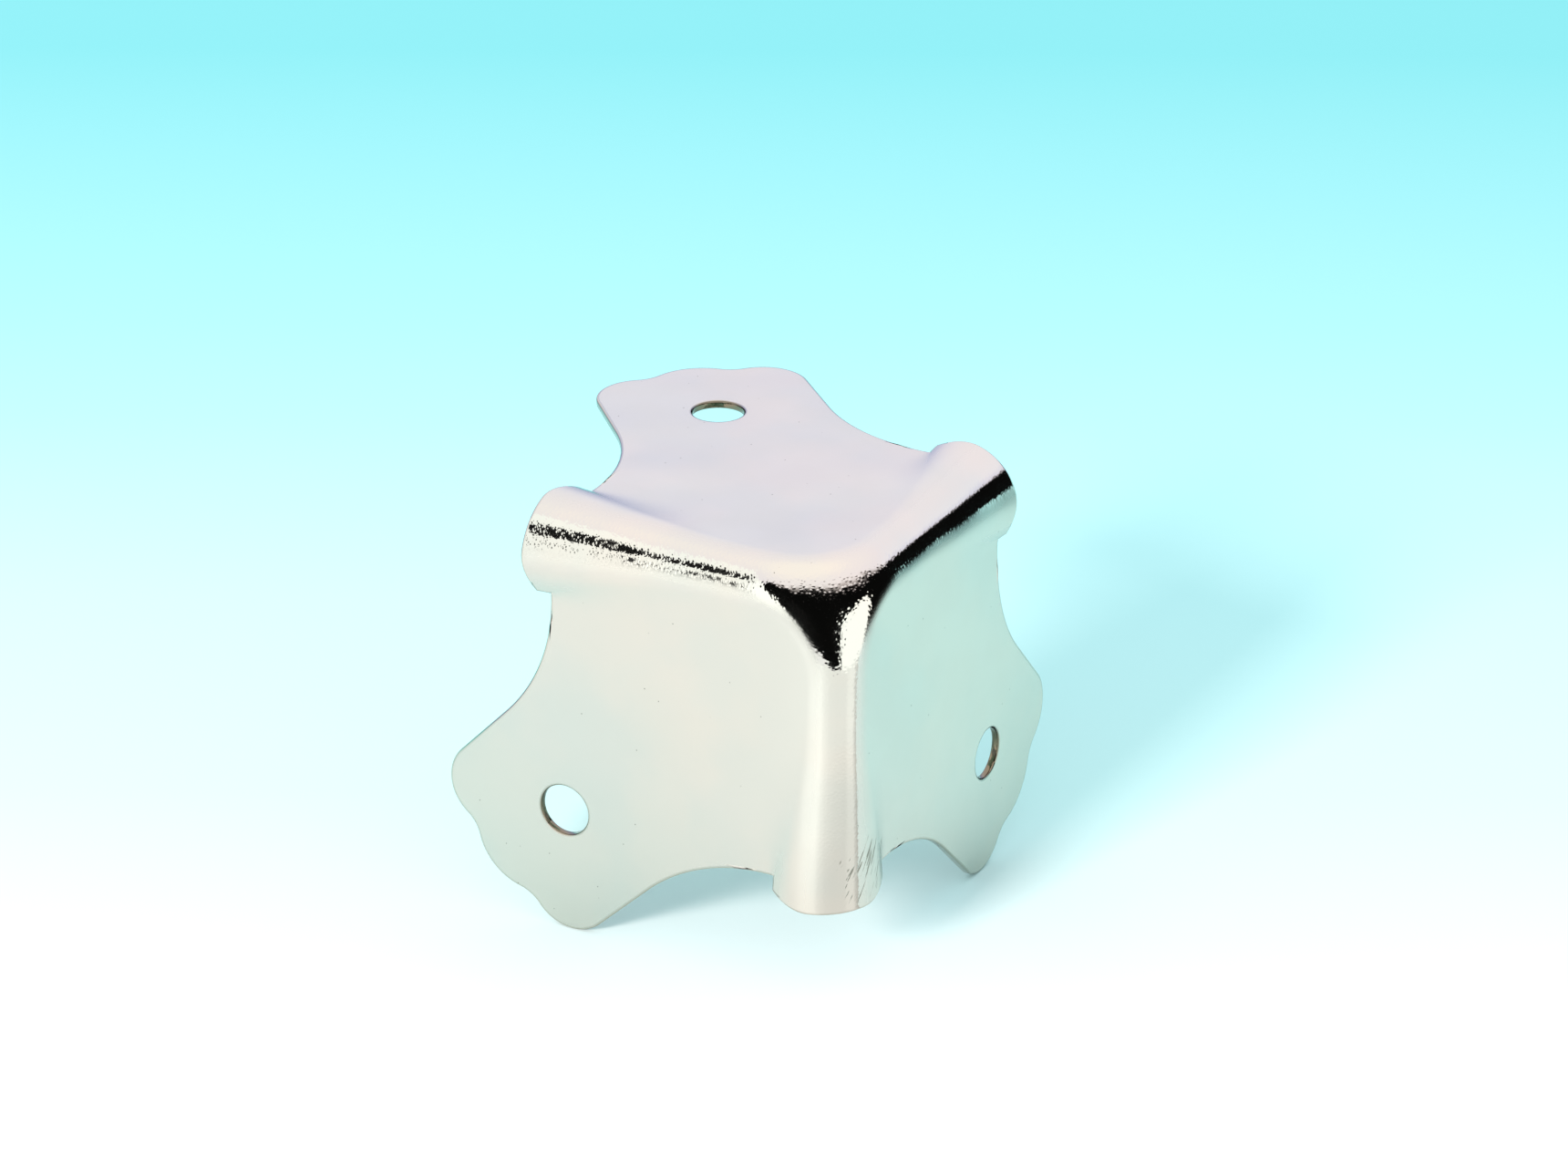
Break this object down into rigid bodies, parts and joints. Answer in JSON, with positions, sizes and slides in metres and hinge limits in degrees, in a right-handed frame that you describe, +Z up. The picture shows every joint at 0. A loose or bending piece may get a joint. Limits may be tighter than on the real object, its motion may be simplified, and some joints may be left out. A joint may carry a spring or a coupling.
{
  "type": "flight case corner",
  "caption": "Pressed sheet-steel case corner with square-set lobed flanges, rolled ridges ending in round tongues, a smooth nose and a fixing hole in each flange, bright nickel plated.",
  "frame": {"origin": "the corner point of the covered box, where the three inner seat planes of the flanges meet", "axes": "+Z up out of the top flange, -Y out of the front flange, +X out of the right flange; the box fills -X, +Y, -Z"},
  "size_m": [0.0425, 0.0425, 0.0425],
  "materials": {
    "nickel_plate": "bright nickel plate over pressed steel, lightly grained"
  },
  "bodies": {
    "root": {"corner_shell": "nickel_plate"}
  },
  "joints": []
}
